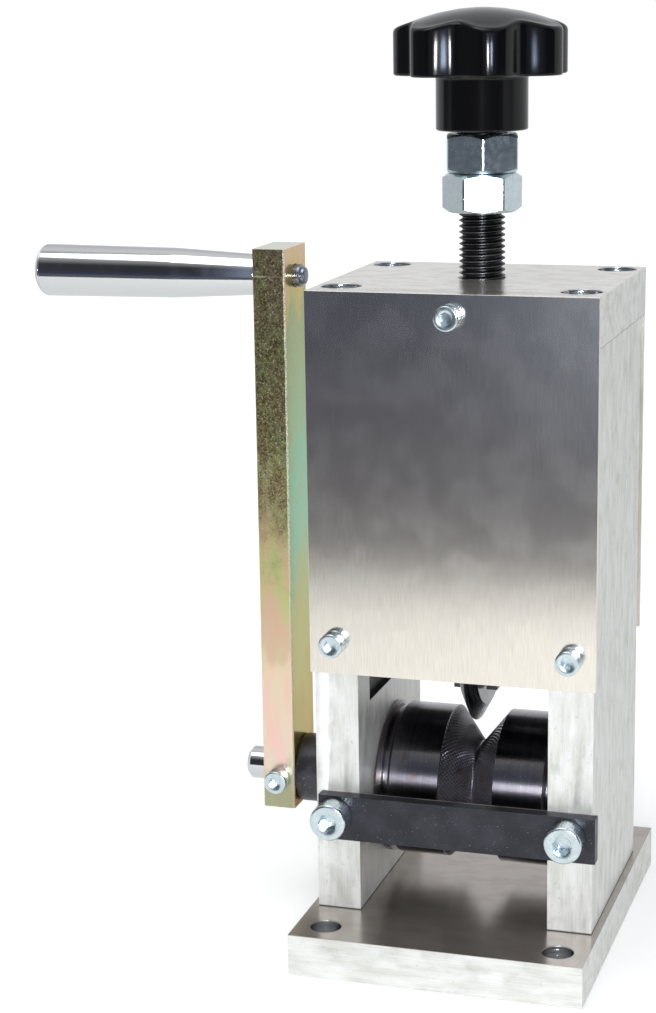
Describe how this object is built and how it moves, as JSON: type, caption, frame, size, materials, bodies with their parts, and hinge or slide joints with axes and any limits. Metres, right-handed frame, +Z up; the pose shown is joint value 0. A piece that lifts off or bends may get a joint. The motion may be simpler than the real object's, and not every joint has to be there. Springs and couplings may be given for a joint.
{
  "type": "hand crank wire stripper",
  "caption": "Bench wire stripper: a crank and handle turn a V-grooved pair of feed rollers between two plates under a round blade that a star knob and screw raise and lower.",
  "frame": {"origin": "centre of the base plate's underside", "axes": "+Z up along the adjusting screw; +X along the roller shaft, away from the crank; +Y from the wire inlet, with the guide bar, to the outlet"},
  "size_m": [0.2181, 0.1344, 0.3254],
  "materials": {
    "aluminium_plate": "sawn and ground flat, fine grain with stains",
    "stainless_sheet": "brushed vertically",
    "black_oxide": "black oxide, lightly oiled",
    "roller_steel": "blackened and oiled, diamond knurl on the groove's flanks",
    "bright_zinc": "bright bluish zinc plating",
    "yellow_chromate": "yellow zinc chromate with iridescent patches",
    "chrome": "polished chrome plating",
    "bronze": "plain bearing bronze, turned",
    "tool_steel": "ground",
    "black_plastic": "glossy moulded phenolic"
  },
  "bodies": {
    "frame": {"base_plate": "aluminium_plate", "side_plate_left": "aluminium_plate", "side_plate_right": "aluminium_plate", "top_plate": "aluminium_plate", "front_cover": "stainless_sheet", "rear_cover": "stainless_sheet", "guide_bar": "black_oxide", "front_cover_screw_left": "bright_zinc", "front_cover_screw_right": "bright_zinc", "front_cover_screw_top": "bright_zinc", "rear_cover_screw_left_low": "bright_zinc", "rear_cover_screw_left_high": "bright_zinc", "rear_cover_screw_right_low": "bright_zinc", "rear_cover_screw_right_high": "bright_zinc", "guide_bar_screw_left": "bright_zinc", "guide_bar_screw_right": "bright_zinc", "top_screw_front_left": "bright_zinc", "top_screw_rear_left": "bright_zinc", "top_screw_front_right": "bright_zinc", "top_screw_rear_right": "bright_zinc", "base_screw_front_left": "bright_zinc", "base_screw_rear_left": "bright_zinc", "base_screw_front_right": "bright_zinc", "base_screw_rear_right": "bright_zinc", "shaft_bush_left": "bronze", "shaft_bush_right": "bronze"},
    "drive": {"drive_shaft": "chrome", "roller_key": "tool_steel", "feed_roller_left": "roller_steel", "feed_roller_right": "roller_steel", "shaft_collar": "black_oxide", "crank_arm": "yellow_chromate", "crank_clamp_screw": "bright_zinc", "handle_stud": "chrome"},
    "handle": {"handle_grip": "chrome", "handle_cap": "chrome"},
    "carriage": {"carriage_block": "black_oxide", "blade_axle": "tool_steel", "axle_grub_screw": "black_oxide", "blade_washer_left": "bronze", "blade_washer_right": "bronze"},
    "blade": {"cutting_blade": "tool_steel", "blade_bush": "bronze"},
    "screw": {"adjusting_screw": "black_oxide", "jam_nut": "bright_zinc", "star_knob": "black_plastic"},
    "lock": {"lock_nut": "bright_zinc"}
  },
  "joints": [
    {"name": "crank_spin", "type": "hinge", "parent": "frame", "child": "drive", "pos_m": [0, 0.004, 0.0502], "axis": [1, 0, 0], "continuous": true},
    {"name": "handle_spin", "type": "hinge", "parent": "drive", "child": "handle", "pos_m": [-0.12, 0.004, 0.2332], "axis": [1, 0, 0], "continuous": true},
    {"name": "blade_height", "type": "slide", "parent": "frame", "child": "carriage", "axis": [0, 0, 1], "range_m": [-0.009, 0.024]},
    {"name": "blade_spin", "type": "hinge", "parent": "carriage", "child": "blade", "pos_m": [0, 0.004, 0.1043], "axis": [1, 0, 0], "continuous": true},
    {"name": "screw_turn", "type": "hinge", "parent": "carriage", "child": "screw", "pos_m": [0, 0.004, 0.2], "axis": [0, 0, 1], "range_deg": [-1620.5, 4320.5]},
    {"name": "lock_nut_run", "type": "slide", "parent": "screw", "child": "lock", "axis": [0, 0, 1], "range_m": [-0.012, 0]}
  ],
  "couplings": [
    {"joint": "screw_turn", "follows": "blade_height", "rad_per_m": 3141.6}
  ]
}
